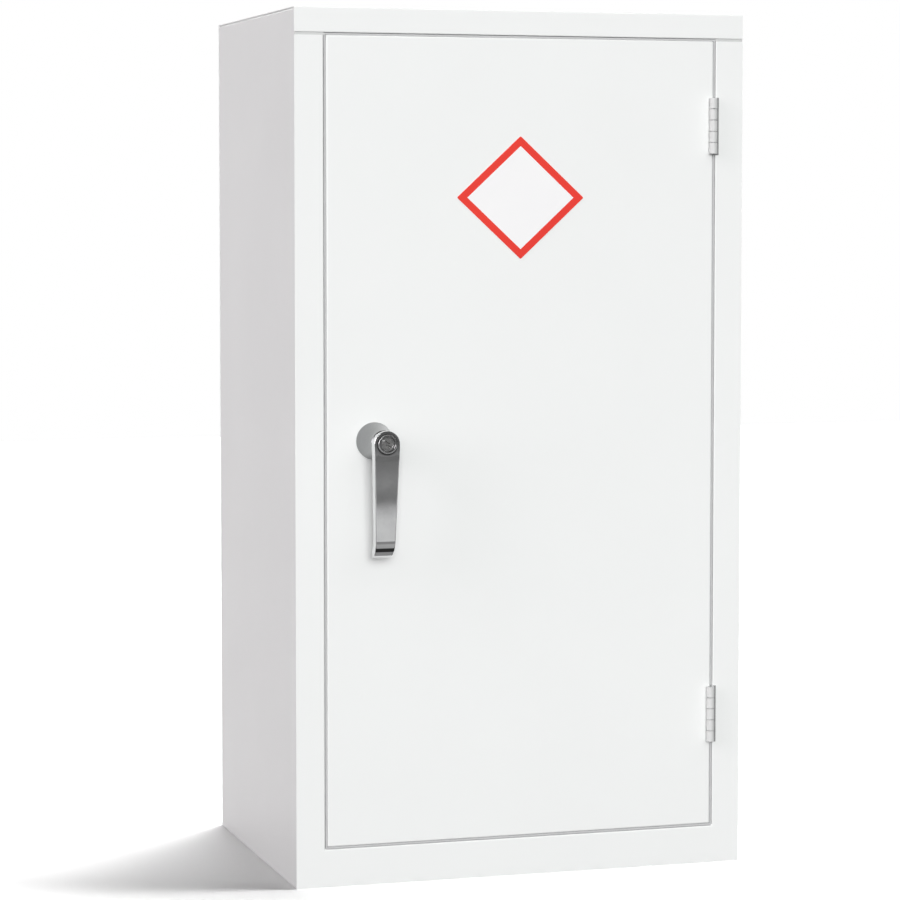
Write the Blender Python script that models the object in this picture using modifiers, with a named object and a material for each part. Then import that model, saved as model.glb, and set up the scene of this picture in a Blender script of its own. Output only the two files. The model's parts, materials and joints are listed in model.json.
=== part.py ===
"""Steel acid storage cabinet with one hinged door, modelled piece by piece.

Metres, +Z up. The origin is the middle of the footprint, on the floor. The door is at -Y
and its hinges are at +X. The door is shut and its locking rods are drawn in.
"""

import math

import bmesh
import bpy
from mathutils import Matrix, Vector

# Overall size of the body
cabinet_width = 0.495
cabinet_depth = 0.350
cabinet_height = 0.915

# Sheet metal
sheet = 0.0012
fold_radius = 0.0015
fold_steps = 2
seat_gap = 0.0003
cut_overrun = 0.004
merge_distance = 0.000003

# Front of the body
stile_width = 0.031
top_rail_height = 0.0262
bottom_rail_height = 0.0399
stop_flange = 0.012
side_rim = 0.012

# Door
door_gap = 0.0025
door_thickness = 0.025
door_back_gap = 0.002
door_rim = 0.014
stiffener_width = 0.070
stiffener_lip = 0.015
stiffener_depth = 0.014
stiffener_end_room = 0.060
stiffener_inset = 0.240

# Liquid-tight base and the tray shelf
sump_height = 0.048
tray_lip = 0.028
tray_hem = 0.007
tray_front_room = 0.014
tray_back_room = 0.008
tray_side_room = 0.003

# Slotted shelf strips and their clips
strip_width = 0.020
strip_depth = 0.008
strip_lip = 0.007
strip_end_room = 0.022
strip_front_inset = 0.080
strip_back_inset = 0.050
slot_width = 0.004
slot_height = 0.010
slot_pitch = 0.025
tray_slot_number = 15
clip_width = 0.014
clip_height = 0.037
clip_tongue = 0.018
hook_width = 0.003
hook_height = 0.007
hook_reach = 0.0035
hook_drop = 0.007

# Butt hinges
hinge_length = 0.060
hinge_top_inset = 0.060
hinge_bottom_inset = 0.0904
barrel_radius = 0.0042
barrel_inset = 0.003
barrel_face_gap = 0.0005
knuckle_count = 5
knuckle_gap = 0.0006
neck_root_share = 0.3
leaf_thickness = 0.0008
leaf_reach = 0.018
pin_radius = 0.002
pin_clearance = 0.0003

# Rubber buffers
buffer_radius = 0.004
buffer_end_inset = 0.110

# Handle
handle_edge_inset = 0.051
handle_rise = 0.0024
handle_stand_off = 0.0505
rose_radius = 0.0195
rose_rim_height = 0.0016
rose_neck_radius = 0.0135
rose_turn_gap = 0.0005
rose_bore_radius = 0.0065
rose_spigot_radius = 0.009
rose_spigot_length = 0.0065
rose_flare_steps = 8
flare_power = 1.5
nut_radius = 0.0140
nut_height = 0.0042
nut_sides = 6
lever_head_radius = 0.0138
lever_head_thickness = 0.012
lever_tip_half_width = 0.0102
lever_tip_thickness = 0.0105
lever_drop = 0.119
lever_drift = 0.006
lever_curl_height = 0.0205
lever_curl_reach = 0.019
lever_corner_radius = 0.003
lever_edge_radius = 0.0011
lever_hub_radius = 0.0106
lever_hub_length = 0.010
lever_hub_root = 0.001
hub_clearance = 0.0005
spindle_width = 0.008
spindle_clearance = 0.0003
spindle_socket_depth = 0.008

# Key lock in the head of the lever
lock_radius = 0.0100
lock_pocket_depth = 0.009
lock_proud = 0.0024
lock_chamfer = 0.0011
plug_radius = 0.0074
plug_depth = 0.0080
plug_recess = 0.0008
plug_clearance = 0.0003
key_slot_length = 0.0084
key_slot_width = 0.0018
key_slot_depth = 0.0030
key_notch_length = 0.0044
key_lean = math.radians(55)

# Locking rods and the cam that drives them
rod_radius = 0.004
rod_hole_clearance = 0.0007
rod_end_inset = 0.003
rod_tip_chamfer = 0.001
cam_thickness = 0.003
cam_gap = 0.0005
cam_pin_circle = 0.016
cam_pin_radius = 0.0025
cam_pin_root = 0.001
cam_pin_proud = 0.0005
cam_eye_radius = 0.0052
cam_hub_radius = 0.0085
cam_screw_radius = 0.0042
cam_screw_height = 0.0036
cam_screw_shank_radius = 0.002
cam_screw_shank_length = 0.010
slot_clearance = 0.0008
rod_head_wall = 0.0026
guide_foot = 0.016
guide_width = 0.026
guide_inset = 0.100
guide_edge = 0.0025

# Fineness of round work
round_steps = 32
small_steps = 20
profile_steps = 8
sharp_angle = math.radians(35)
flat_angle = math.radians(1)

# Places that follow from the sizes above
front_y = -cabinet_depth / 2
back_y = cabinet_depth / 2
half_width = cabinet_width / 2
top_seam = cabinet_height - top_rail_height
opening_half = half_width - stile_width
door_width = 2 * (opening_half - door_gap)
door_bottom = bottom_rail_height + door_gap
door_top = top_seam - door_gap
door_height = door_top - door_bottom
door_back_y = front_y + door_thickness
stop_y = door_back_y + door_back_gap
reveal_depth = stop_y - front_y
side_inner_x = half_width - sheet
back_panel_y = back_y - sheet
hinge_x = opening_half - door_gap / 2 - barrel_inset
hinge_y = front_y - barrel_radius - barrel_face_gap
handle_x = -door_width / 2 + handle_edge_inset
handle_height = (door_top + door_bottom) / 2 + handle_rise
door_inner_y = front_y + sheet
lever_front_y = front_y - handle_stand_off
lever_back_y = lever_front_y + lever_head_thickness
rose_front_y = lever_back_y + rose_turn_gap
spigot_end_y = door_inner_y + rose_spigot_length
cam_front_y = spigot_end_y + cam_gap
cam_back_y = cam_front_y + cam_thickness
rod_front_y = cam_back_y + cam_gap
rod_y = rod_front_y + rod_radius
cam_pin_offset = cam_pin_circle * math.sin(math.radians(45))
rod_offset = (cam_pin_circle + cam_pin_offset) / 2
rod_top = door_top - rod_end_inset
rod_bottom = door_bottom + rod_end_inset
upper_rod_x = handle_x + rod_offset
lower_rod_x = handle_x - rod_offset
strip_face_x = side_inner_x - seat_gap - strip_depth
strip_bottom = sump_height + strip_end_room
strip_top = cabinet_height - 2 * sheet - seat_gap - strip_end_room
first_slot_z = strip_bottom + slot_pitch
slot_count = int((strip_top - first_slot_z) / slot_pitch)
clip_top_z = first_slot_z + tray_slot_number * slot_pitch + hook_drop
tray_floor_z = clip_top_z + seat_gap
tray_back_y = back_panel_y - sheet - 2 * seat_gap

# Colours, roughness and metallic share of each finish
white_coat = ((0.87, 0.88, 0.87), 0.42, 0.0)
chrome = ((0.62, 0.62, 0.62), 0.12, 1.0)
zinc = ((0.55, 0.56, 0.58), 0.35, 1.0)
black_rubber = ((0.03, 0.03, 0.03), 0.80, 0.0)


def clear_scene():
    for thing in list(bpy.data.objects):
        bpy.data.objects.remove(thing, do_unlink=True)


def make_collection(name):
    collection = bpy.data.collections.new(name)
    bpy.context.scene.collection.children.link(collection)
    return collection


def make_material(name, finish):
    colour, roughness, metallic = finish
    material = bpy.data.materials.new(name)
    material.use_nodes = True
    shader = material.node_tree.nodes["Principled BSDF"]
    shader.inputs["Base Color"].default_value = (*colour, 1)
    shader.inputs["Roughness"].default_value = roughness
    shader.inputs["Metallic"].default_value = metallic
    material.diffuse_color = (*colour, 1)
    return material


def add_piece(name, mesh, finish, place=(0, 0, 0), turn=(0, 0, 0)):
    """Put a mesh into the cabinet as one named piece with its own material."""
    piece = bpy.data.objects.new(name, mesh)
    piece.location = place
    piece.rotation_euler = turn
    mesh.materials.clear()
    mesh.materials.append(make_material(name, finish))
    parts.objects.link(piece)
    return piece


def add_cutter(mesh, place, turn):
    """Put a mesh among the shapes that cut or join other pieces."""
    cutter = bpy.data.objects.new("cutter", mesh)
    cutter.location = place
    cutter.rotation_euler = turn
    cutter.hide_render = True
    cutter.display_type = "WIRE"
    cutters.objects.link(cutter)
    return cutter


def combine(piece, other, operation):
    boolean = piece.modifiers.new(operation.title(), "BOOLEAN")
    boolean.solver = "EXACT"
    boolean.operation = operation
    boolean.object = other


def cut(piece, mesh, place, turn=(0, 0, 0)):
    combine(piece, add_cutter(mesh, place, turn), "DIFFERENCE")


def join(piece, mesh, place, turn=(0, 0, 0)):
    combine(piece, add_cutter(mesh, place, turn), "UNION")


def thicken(piece, thickness):
    """Give a folded surface its wall, behind the side that shows."""
    wall = piece.modifiers.new("Sheet", "SOLIDIFY")
    wall.thickness = thickness
    wall.offset = -1
    wall.use_even_offset = True


def round_edges(piece, radius):
    bevel = piece.modifiers.new("Edges", "BEVEL")
    bevel.width = radius
    bevel.segments = fold_steps
    bevel.use_clamp_overlap = True
    bevel.limit_method = "ANGLE"
    bevel.angle_limit = sharp_angle


def mesh_from(work, smooth=False):
    mesh = bpy.data.meshes.new("shape")
    work.to_mesh(mesh)
    work.free()
    if smooth:
        mesh.shade_smooth()
        mesh.set_sharp_from_angle(angle=sharp_angle)
    return mesh


def box(width, depth, height):
    """A box about its own middle."""
    work = bmesh.new()
    bmesh.ops.create_cube(work, size=1, matrix=Matrix.Diagonal((width, depth, height, 1)))
    return mesh_from(work)


def bar(radius, length, steps=round_steps):
    """A round bar about its own middle, along Z."""
    work = bmesh.new()
    bmesh.ops.create_cone(
        work,
        cap_ends=True,
        segments=steps,
        radius1=radius,
        radius2=radius,
        depth=length,
    )
    return mesh_from(work, smooth=True)


def plate(outline, thickness):
    """A flat plate in XY about its own middle plane, from the points of its outline."""
    curve = bpy.data.curves.new("outline", "CURVE")
    curve.dimensions = "2D"
    curve.fill_mode = "BOTH"
    curve.extrude = thickness / 2
    spline = curve.splines.new("POLY")
    spline.points.add(len(outline) - 1)
    for point, (x, y) in zip(spline.points, outline):
        point.co = (x, y, 0, 1)
    spline.use_cyclic_u = True
    holder = bpy.data.objects.new("outline", curve)
    cutters.objects.link(holder)
    depsgraph = bpy.context.evaluated_depsgraph_get()
    mesh = bpy.data.meshes.new_from_object(holder.evaluated_get(depsgraph))
    bpy.data.objects.remove(holder, do_unlink=True)
    work = bmesh.new()
    work.from_mesh(mesh)
    bmesh.ops.remove_doubles(work, verts=work.verts, dist=merge_distance)
    bmesh.ops.recalc_face_normals(work, faces=work.faces)
    bpy.data.meshes.remove(mesh)
    return mesh_from(work)


def arc(centre, radius, start, end, steps):
    """Points on an arc, with both ends, from start to end in degrees."""
    points = []
    for step in range(steps + 1):
        angle = math.radians(start + (end - start) * step / steps)
        x = centre[0] + radius * math.cos(angle)
        y = centre[1] + radius * math.sin(angle)
        points.append((x, y))
    return points


def turned(profile):
    """A profile of radius and height, for a Screw modifier about Z."""
    work = bmesh.new()
    corners = [work.verts.new((radius, 0, height)) for radius, height in profile]
    for first, second in zip(corners, corners[1:]):
        work.edges.new((first, second))
    if profile[0][0] > 0:
        work.edges.new((corners[-1], corners[0]))
    return mesh_from(work)


def spin(piece):
    screw = piece.modifiers.new("Turned", "SCREW")
    screw.steps = round_steps
    screw.render_steps = round_steps
    screw.use_merge_vertices = True
    screw.merge_threshold = merge_distance
    screw.use_smooth_shade = True


def settle_normals(work, face, direction):
    """Turn every face the same way, with the given face looking along direction."""
    bmesh.ops.recalc_face_normals(work, faces=work.faces)
    if face.normal.dot(Vector(direction)) < 0:
        bmesh.ops.reverse_faces(work, faces=work.faces)


def round_folds(work):
    """Round every fold of an open sheet."""
    folds = [edge for edge in work.edges if len(edge.link_faces) == 2]
    bmesh.ops.bevel(
        work,
        geom=folds,
        offset=fold_radius,
        affect="EDGES",
        segments=fold_steps,
        profile=0.5,
        material=-1,
        clamp_overlap=True,
    )


def folded_strip(profile, length):
    """A sheet folded along a profile in XY and drawn out along Z, with no wall yet.

    Its face side is on the right hand of someone who walks along the profile.
    """
    work = bmesh.new()
    corners = [work.verts.new((x, y, -length / 2)) for x, y in profile]
    edges = [work.edges.new(pair) for pair in zip(corners, corners[1:])]
    drawn = bmesh.ops.extrude_edge_only(work, edges=edges)["geom"]
    moved = [item for item in drawn if isinstance(item, bmesh.types.BMVert)]
    bmesh.ops.translate(work, verts=moved, vec=(0, 0, length))
    work.normal_update()
    way = corners[1].co - corners[0].co
    settle_normals(work, edges[0].link_faces[0], (way.y, -way.x, 0))
    round_folds(work)
    return mesh_from(work)


def fold_back(work, edges, depth):
    """Fold a rim back from the open edges, and give its far edges."""
    made = bmesh.ops.extrude_edge_only(work, edges=edges)["geom"]
    verts = {item for item in made if isinstance(item, bmesh.types.BMVert)}
    bmesh.ops.translate(work, verts=list(verts), vec=(0, 0, -depth))
    made_edges = [item for item in made if isinstance(item, bmesh.types.BMEdge)]
    return [edge for edge in made_edges if set(edge.verts) <= verts]


def fold_in(work, edges, reach, middle_y=0, open_top=False):
    """Fold a flange towards the middle from the far edges of a rim."""
    made = bmesh.ops.extrude_edge_only(work, edges=edges)["geom"]
    for vert in [item for item in made if isinstance(item, bmesh.types.BMVert)]:
        vert.co.x -= math.copysign(reach, vert.co.x)
        if vert.co.y < middle_y or not open_top:
            vert.co.y -= math.copysign(reach, vert.co.y - middle_y)


def flat_grid(columns, rows):
    """A flat sheet facing +Z, cut at the given columns and rows."""
    work = bmesh.new()
    bmesh.ops.create_grid(
        work,
        x_segments=len(columns) - 1,
        y_segments=len(rows) - 1,
        size=1,
    )
    for vert in work.verts:
        column = round((vert.co.x + 1) / 2 * (len(columns) - 1))
        row = round((vert.co.y + 1) / 2 * (len(rows) - 1))
        vert.co = (columns[column], rows[row], 0)
    work.normal_update()
    return work


def folded_pan(width, height, depth, flange=0, flange_ends=True, open_bottom=False):
    """A sheet facing +Z with a rim folded back all round and, if given, a flange.

    Without flange_ends only the sides at -X and +X have the flange. A pan with an open
    bottom has no rim at -Y, and never a flange.
    """
    work = flat_grid((-width / 2, width / 2), (-height / 2, height / 2))
    sheet_face = work.faces[:][0]
    rim = fold_back(work, work.edges[:], depth)
    if not flange_ends:
        rim = [edge for edge in rim if abs(edge.verts[0].co.x - edge.verts[1].co.x) < merge_distance]
    if flange > 0:
        fold_in(work, rim, flange)
    work.normal_update()
    settle_normals(work, sheet_face, (0, 0, 1))
    if open_bottom:
        bottom = min(work.faces, key=lambda face: face.normal.y)
        bmesh.ops.delete(work, geom=[bottom], context="FACES")
    round_folds(work)
    return mesh_from(work)


def folded_frame(half_outside, half_inside, sill, height, depth, flange):
    """A U-shaped frame facing +Z: two stiles and a sill, with a reveal and a stop flange."""
    work = flat_grid((-half_outside, -half_inside, half_inside, half_outside), (0, sill, height))
    middle = Vector((0, (sill + height) / 2, 0))
    opening = min(work.faces, key=lambda face: (face.calc_center_median() - middle).length)
    throat = [edge for edge in opening.edges if len(edge.link_faces) == 2]
    bmesh.ops.delete(work, geom=[opening], context="FACES")
    rim = fold_back(work, throat, depth)
    fold_in(work, rim, flange, middle.y, open_top=True)
    work.normal_update()
    work.faces.ensure_lookup_table()
    settle_normals(work, work.faces[0], (0, 0, 1))
    bmesh.ops.dissolve_limit(work, angle_limit=flat_angle, verts=work.verts, edges=work.edges)
    round_folds(work)
    return mesh_from(work)


# Ways to turn a shape: a sheet facing +Z looks to the front, left, right or down
facing_front = (math.pi / 2, 0, 0)
facing_left = (math.pi / 2, 0, -math.pi / 2)
facing_right = (math.pi / 2, 0, math.pi / 2)
facing_down = (math.pi, 0, 0)
drawn_along_x = (math.pi / 2, 0, math.pi / 2)
turned_about = (math.pi / 2, 0, math.pi)


def axis_at(name, place, parent=None):
    """An empty on a joint's axis."""
    empty = bpy.data.objects.new(name, None)
    empty.location = place
    empty.empty_display_size = stile_width
    parts.objects.link(empty)
    if parent:
        hang([empty], parent)
    return empty


def hang(pieces, axis):
    """Hang pieces on an axis without moving them."""
    bpy.context.view_layer.update()
    for piece in pieces:
        piece.parent = axis
        piece.matrix_parent_inverse = axis.matrix_world.inverted()


def make_side_panels():
    """Folded sides, with rims behind the stile, under the cap and before the back."""
    length = back_panel_y - seat_gap - (front_y + sheet + seat_gap)
    middle_y = (back_panel_y + front_y + sheet) / 2
    height = cabinet_height - sheet - seat_gap
    for side, outwards, turn in (("left", -1, facing_left), ("right", 1, facing_right)):
        mesh = folded_pan(length, height, side_rim, open_bottom=True)
        place = (outwards * half_width, middle_y, height / 2)
        panel = add_piece(f"side_panel_{side}", mesh, white_coat, place, turn)
        thicken(panel, sheet)


def make_front_frame():
    """Stiles and bottom rail in one piece, with the reveal round the door and its stop."""
    height = top_seam - seat_gap
    mesh = folded_frame(half_width, opening_half, bottom_rail_height, height, reveal_depth, stop_flange)
    frame = add_piece("front_frame", mesh, white_coat, (0, front_y, 0), facing_front)
    thicken(frame, sheet)
    cut(frame, rod_hole(), (lower_rod_x, rod_y, bottom_rail_height))


def rod_hole():
    """Square hole that a locking rod passes through."""
    width = 2 * (rod_radius + rod_hole_clearance)
    return box(width, width, 2 * (sheet + cut_overrun))


def make_top_panel():
    """Cap with the front rail, the ledge over the door and the top stop flange."""
    profile = (
        (back_y, cabinet_height),
        (front_y, cabinet_height),
        (front_y, top_seam),
        (stop_y, top_seam),
        (stop_y, top_seam - stop_flange),
    )
    cap = add_piece("top_panel", folded_strip(profile, cabinet_width), white_coat, turn=drawn_along_x)
    thicken(cap, sheet)
    ledge_half = side_inner_x - side_rim - seat_gap
    notch_front_y = front_y + sheet + seat_gap
    notch_top = cabinet_height - sheet - seat_gap
    notch_bottom = top_seam - stop_flange - cut_overrun
    cut_end_notches(cap, ledge_half, notch_front_y, notch_bottom, notch_top)
    stop_half = opening_half - stop_flange - seat_gap
    cut_end_notches(cap, stop_half, stop_y - fold_radius, notch_bottom, top_seam)
    cut(cap, rod_hole(), (upper_rod_x, rod_y, top_seam))


def cut_end_notches(cap, inner_x, near_y, low_z, high_z):
    """Cut both ends of a flange back to inner_x, behind near_y."""
    far_y = stop_y + sheet + cut_overrun
    outer_x = half_width + cut_overrun
    notch = box(outer_x - inner_x, far_y - near_y, high_z - low_z)
    for side in (-1, 1):
        place = (side * (outer_x + inner_x) / 2, (near_y + far_y) / 2, (low_z + high_z) / 2)
        cut(cap, notch, place)


def make_back_panel():
    height = cabinet_height - sheet - seat_gap
    place = (0, (back_panel_y + back_y) / 2, height / 2)
    add_piece("back_panel", box(cabinet_width, sheet, height), white_coat, place)


def make_sump_base():
    """Dished base that holds spills; the cabinet stands on its flat underside."""
    near_y = stop_y + sheet + seat_gap
    width = 2 * (side_inner_x - seat_gap)
    mesh = folded_pan(width, tray_back_y - near_y, sump_height)
    base = add_piece("sump_base", mesh, white_coat, (0, (near_y + tray_back_y) / 2, 0), facing_down)
    thicken(base, sheet)


def make_tray_shelf():
    """Dished shelf with a hemmed lip, lying loose on its clips."""
    near_y = stop_y + sheet + tray_front_room
    far_y = tray_back_y - tray_back_room
    width = 2 * (strip_face_x - tray_side_room)
    mesh = folded_pan(width, far_y - near_y, tray_lip, tray_hem)
    place = (0, (near_y + far_y) / 2, tray_floor_z)
    shelf = add_piece("tray_shelf", mesh, white_coat, place, facing_down)
    thicken(shelf, sheet)
    return shelf


def hat_profile(width, lip, depth):
    """Points of a top-hat section, with its lips on the X axis."""
    half = width / 2
    return ((-half - lip, 0), (-half, 0), (-half, depth), (half, depth), (half, 0), (half + lip, 0))


def shelf_posts():
    """The four posts: name, way inwards, middle of the post in Y."""
    for side, inwards in (("left", 1), ("right", -1)):
        yield f"{side}_front", inwards, front_y + strip_front_inset
        yield f"{side}_back", inwards, back_y - strip_back_inset


def make_shelf_strips():
    """Uprights with a row of slots, on both side panels."""
    length = strip_top - strip_bottom
    depth = strip_depth - sheet
    crown_width = strip_width - 2 * fold_radius
    for name, inwards, post_y in shelf_posts():
        mesh = folded_strip(hat_profile(crown_width, strip_lip, depth), length)
        place = (-inwards * (side_inner_x - seat_gap), post_y, (strip_top + strip_bottom) / 2)
        strip = add_piece(f"shelf_strip_{name}", mesh, zinc, place, (0, 0, -inwards * math.pi / 2))
        thicken(strip, sheet)
        cut(strip, slot_row(), (-inwards * strip_face_x, post_y, 0))


def slot_row():
    """Boxes for the whole row of slots of one strip, at their real heights."""
    work = bmesh.new()
    for number in range(slot_count):
        size = Matrix.Diagonal((2 * (sheet + seat_gap), slot_width, slot_height, 1))
        place = Matrix.Translation((0, 0, first_slot_z + number * slot_pitch))
        bmesh.ops.create_cube(work, size=1, matrix=place @ size)
    return mesh_from(work)


def make_shelf_clips():
    """Clips with two hooks in the slots and a tongue under the shelf."""
    for name, inwards, post_y in shelf_posts():
        profile = ((clip_tongue, 0), (0, 0), (0, -clip_height))
        turn = facing_front if inwards > 0 else turned_about
        place = (-inwards * (strip_face_x - seat_gap), post_y, clip_top_z)
        clip = add_piece(f"shelf_clip_{name}", folded_strip(profile, clip_width), zinc, place, turn)
        thicken(clip, sheet)
        reach = hook_reach + sheet / 2
        hook = box(reach, hook_width, hook_height)
        for step in (0, 1):
            hook_x = -inwards * (strip_face_x - seat_gap + (hook_reach - sheet / 2) / 2)
            join(clip, hook, (hook_x, post_y, clip_top_z - hook_drop - step * slot_pitch))


def make_hinge(level, bottom_z):
    """Butt hinge: two leaves in the gap beside the door, their knuckles and the pin."""
    frame_leaf_x = opening_half - seat_gap - leaf_thickness / 2
    door_leaf_x = door_width / 2 + seat_gap + leaf_thickness / 2
    middle_z = bottom_z + hinge_length / 2
    leaves = []
    for owner, leaf_x, first in (("frame", frame_leaf_x, 0), ("door", door_leaf_x, 1)):
        near_y = hinge_y + barrel_radius + knuckle_gap
        far_y = front_y + leaf_reach
        mesh = box(leaf_thickness, far_y - near_y, hinge_length)
        name = f"hinge_{owner}_leaf_{level}"
        leaf = add_piece(name, mesh, white_coat, (leaf_x, (near_y + far_y) / 2, middle_z))
        for number in range(first, knuckle_count, 2):
            knuckle_z = bottom_z + (number + 0.5) * hinge_length / knuckle_count
            add_knuckle(leaf, leaf_x, knuckle_z)
        bore = bar(pin_radius + pin_clearance, hinge_length + 2 * cut_overrun, small_steps)
        cut(leaf, bore, (hinge_x, hinge_y, middle_z))
        leaves.append(leaf)
    pin = bar(pin_radius, hinge_length, small_steps)
    add_piece(f"hinge_pin_{level}", pin, zinc, (hinge_x, hinge_y, middle_z))
    return leaves


def add_knuckle(leaf, leaf_x, knuckle_z):
    """Join one knuckle to its leaf by a neck of the leaf's thickness."""
    length = hinge_length / knuckle_count - knuckle_gap
    neck_near_y = hinge_y + neck_root_share * barrel_radius
    neck_far_y = front_y + leaf_reach / 2
    neck = box(leaf_thickness, neck_far_y - neck_near_y, length)
    join(leaf, bar(barrel_radius, length, small_steps), (hinge_x, hinge_y, knuckle_z))
    join(leaf, neck, (leaf_x, (neck_near_y + neck_far_y) / 2, knuckle_z))


def make_door_buffers():
    thickness = door_back_gap - 2 * seat_gap
    place_x = -(opening_half - stop_flange / 2)
    levels = {"upper": door_top - buffer_end_inset, "lower": door_bottom + buffer_end_inset}
    for level, place_z in levels.items():
        buffer = bar(buffer_radius, thickness, small_steps)
        place = (place_x, door_back_y + seat_gap + thickness / 2, place_z)
        add_piece(f"door_buffer_{level}", buffer, black_rubber, place, facing_front)


def make_door_pan():
    """Door skin with folded edges and a flange down both sides of its back."""
    mesh = folded_pan(door_width, door_height, door_thickness, door_rim, flange_ends=False)
    place = (0, front_y, (door_top + door_bottom) / 2)
    door = add_piece("door_pan", mesh, white_coat, place, facing_front)
    thicken(door, sheet)
    spigot_hole = bar(rose_spigot_radius + seat_gap, 2 * (sheet + cut_overrun))
    cut(door, spigot_hole, (handle_x, front_y, handle_height), facing_front)
    cut(door, rod_hole(), (upper_rod_x, rod_y, door_top))
    cut(door, rod_hole(), (lower_rod_x, rod_y, door_bottom))
    return door


def make_door_stiffener():
    length = door_height - 2 * stiffener_end_room
    mesh = folded_strip(hat_profile(stiffener_width, stiffener_lip, stiffener_depth), length)
    place_x = -door_width / 2 + stiffener_inset
    place = (place_x, door_inner_y + seat_gap, (door_top + door_bottom) / 2)
    stiffener = add_piece("door_stiffener", mesh, white_coat, place)
    thicken(stiffener, sheet)
    return stiffener


def make_handle_rose():
    """Trumpet-shaped rose with a threaded spigot through the door."""
    top = front_y - seat_gap - rose_front_y
    bottom = front_y - seat_gap - spigot_end_y
    floor = top - lever_hub_length
    hub_bore = lever_hub_radius + hub_clearance
    profile = []
    for step in range(rose_flare_steps + 1):
        share = step / rose_flare_steps
        radius = rose_neck_radius + (rose_radius - rose_neck_radius) * share**flare_power
        profile.append((radius, top + (rose_rim_height - top) * share))
    profile += [(rose_radius, 0), (rose_spigot_radius, 0), (rose_spigot_radius, bottom)]
    profile += [(rose_bore_radius, bottom), (rose_bore_radius, floor), (hub_bore, floor), (hub_bore, top)]
    place = (handle_x, front_y - seat_gap, handle_height)
    rose = add_piece("handle_rose", turned(profile), chrome, place, facing_front)
    spin(rose)
    return rose


def make_rose_nut():
    nut = bar(nut_radius, nut_height, nut_sides)
    place = (handle_x, door_inner_y + seat_gap + nut_height / 2, handle_height)
    piece = add_piece("rose_nut", nut, zinc, place, facing_front)
    bore = bar(rose_spigot_radius + seat_gap, nut_height + 2 * cut_overrun)
    cut(piece, bore, place, facing_front)
    return piece


def lever_side_outline():
    """The lever from its left: forward distance from the back of the head, and height."""
    curl_top = -(lever_drop - lever_curl_height)
    front = lever_head_thickness - lever_drift
    centre = front - lever_curl_reach
    points = [(0, lever_head_radius + cut_overrun)]
    points += [(lever_head_thickness, lever_head_radius + cut_overrun)]
    points += [(lever_head_thickness, -lever_head_radius)]
    for step in range(profile_steps + 1):
        angle = math.radians(90) * step / profile_steps
        forward = centre + lever_curl_reach * math.cos(angle)
        points.append((forward, curl_top - lever_curl_height * math.sin(angle)))
    inner_reach = lever_curl_reach - lever_tip_thickness
    inner_height = lever_curl_height - lever_tip_thickness
    for step in range(profile_steps, -1, -1):
        angle = math.radians(90) * step / profile_steps
        forward = centre + inner_reach * math.cos(angle)
        points.append((forward, curl_top - inner_height * math.sin(angle)))
    points.append((0, -lever_head_radius))
    return points


def lever_front_outline():
    """The lever from the front: a round head and a taper down to a soft-cornered tip."""
    corner_x = lever_tip_half_width - lever_corner_radius
    corner_y = -(lever_drop - lever_corner_radius)
    points = arc((0, 0), lever_head_radius, 0, 180, 2 * profile_steps)
    points += arc((-corner_x, corner_y), lever_corner_radius, 180, 270, profile_steps // 2)
    points += arc((corner_x, corner_y), lever_corner_radius, 270, 360, profile_steps // 2)
    return points


def make_lever_handle():
    """Cast lever: its side and front outlines together, a hub behind and two sockets."""
    place = (handle_x, lever_back_y, handle_height)
    side = plate(lever_side_outline(), 2 * (lever_head_radius + cut_overrun))
    lever = add_piece("lever_handle", side, chrome, place, facing_left)
    front = plate(lever_front_outline(), 2 * (lever_head_thickness + lever_curl_reach))
    combine(lever, add_cutter(front, place, facing_front), "INTERSECT")
    round_edges(lever, lever_edge_radius)
    hub_back_y = lever_back_y + lever_hub_length
    root_y = lever_back_y - lever_hub_root
    hub = bar(lever_hub_radius, hub_back_y - root_y)
    join(lever, hub, (handle_x, (hub_back_y + root_y) / 2, handle_height), facing_front)
    pocket = bar(lock_radius + plug_clearance, lock_pocket_depth + cut_overrun)
    pocket_y = lever_front_y + (lock_pocket_depth - cut_overrun) / 2
    cut(lever, pocket, (handle_x, pocket_y, handle_height), facing_front)
    socket_width = spindle_width + 2 * spindle_clearance
    socket = box(socket_width, spindle_socket_depth + cut_overrun, socket_width)
    socket_y = hub_back_y - (spindle_socket_depth - cut_overrun) / 2
    cut(lever, socket, (handle_x, socket_y, handle_height))
    return lever


def make_spindle():
    """Square bar from the lever to the cam, tapped for the cam screw."""
    near_y = lever_back_y + lever_hub_length - spindle_socket_depth + seat_gap
    far_y = cam_back_y - seat_gap
    bar_mesh = box(spindle_width, far_y - near_y, spindle_width)
    place = (handle_x, (near_y + far_y) / 2, handle_height)
    spindle = add_piece("spindle", bar_mesh, zinc, place)
    hole_length = cam_screw_shank_length + seat_gap + cut_overrun
    hole = bar(cam_screw_shank_radius + seat_gap, hole_length, small_steps)
    cut(spindle, hole, (handle_x, far_y + cut_overrun - hole_length / 2, handle_height), facing_front)
    return spindle


def make_cam_plate():
    """Two-eyed cam with a pin in each eye, square on the spindle."""
    place_y = (cam_front_y + cam_back_y) / 2
    place = (handle_x, place_y, handle_height)
    reach = cam_pin_offset
    outline = arc((reach, -reach), cam_eye_radius, -135, 45, profile_steps)
    outline += arc((-reach, reach), cam_eye_radius, 45, 225, profile_steps)
    cam = add_piece("cam_plate", plate(outline, cam_thickness), zinc, place, facing_front)
    join(cam, bar(cam_hub_radius, cam_thickness), place, facing_front)
    pin_root_y = cam_front_y + cam_pin_root
    pin_end_y = rod_y + cam_pin_proud
    pin = bar(cam_pin_radius, pin_end_y - pin_root_y, small_steps)
    for side in (1, -1):
        pin_place = (handle_x + side * reach, (pin_root_y + pin_end_y) / 2, handle_height - side * reach)
        join(cam, pin, pin_place, facing_front)
    hole_width = spindle_width + 2 * spindle_clearance
    cut(cam, box(hole_width, cam_thickness + 2 * cut_overrun, hole_width), place)
    return cam


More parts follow.
